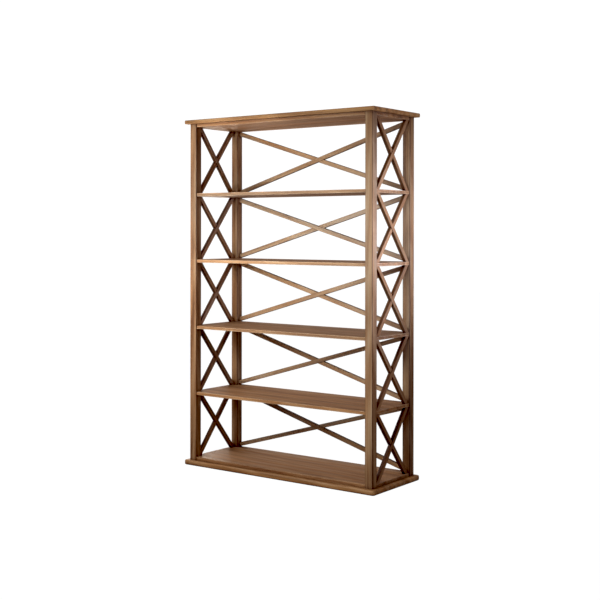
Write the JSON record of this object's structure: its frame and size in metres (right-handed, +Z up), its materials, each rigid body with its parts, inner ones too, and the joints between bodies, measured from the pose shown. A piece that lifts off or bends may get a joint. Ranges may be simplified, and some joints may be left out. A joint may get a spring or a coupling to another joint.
{
  "type": "bookshelf",
  "caption": "Tall open wooden bookshelf: square posts between an overhanging base and cap carry level shelf boards, with crossed braces over the back and both ends of every bay.",
  "frame": {"origin": "middle of the underside of the base board, on the floor", "axes": "+X to the right along the width as seen from the front, +Y from the front to the back, +Z up"},
  "size_m": [1.3, 0.475, 2],
  "materials": {
    "brown_wood": "satin oil on open grain"
  },
  "bodies": {
    "root": {"base_board": "brown_wood", "bottom_shelf": "brown_wood", "cap_board": "brown_wood", "front_left_post": "brown_wood", "front_right_post": "brown_wood", "left_brace_bay_1_falling": "brown_wood", "left_brace_bay_1_rising": "brown_wood", "left_brace_bay_2_falling": "brown_wood", "left_brace_bay_2_rising": "brown_wood", "left_brace_bay_3_falling": "brown_wood", "left_brace_bay_3_rising": "brown_wood", "left_brace_bay_4_falling": "brown_wood", "left_brace_bay_4_rising": "brown_wood", "left_brace_bay_5_falling": "brown_wood", "left_brace_bay_5_rising": "brown_wood", "rear_brace_bay_1_falling": "brown_wood", "rear_brace_bay_1_rising": "brown_wood", "rear_brace_bay_2_falling": "brown_wood", "rear_brace_bay_2_rising": "brown_wood", "rear_brace_bay_3_falling": "brown_wood", "rear_brace_bay_3_rising": "brown_wood", "rear_brace_bay_4_falling": "brown_wood", "rear_brace_bay_4_rising": "brown_wood", "rear_brace_bay_5_falling": "brown_wood", "rear_brace_bay_5_rising": "brown_wood", "rear_left_post": "brown_wood", "rear_right_post": "brown_wood", "right_brace_bay_1_falling": "brown_wood", "right_brace_bay_1_rising": "brown_wood", "right_brace_bay_2_falling": "brown_wood", "right_brace_bay_2_rising": "brown_wood", "right_brace_bay_3_falling": "brown_wood", "right_brace_bay_3_rising": "brown_wood", "right_brace_bay_4_falling": "brown_wood", "right_brace_bay_4_rising": "brown_wood", "right_brace_bay_5_falling": "brown_wood", "right_brace_bay_5_rising": "brown_wood", "shelf_1": "brown_wood", "shelf_2": "brown_wood", "shelf_3": "brown_wood", "shelf_4": "brown_wood", "top_shelf": "brown_wood"}
  },
  "joints": []
}
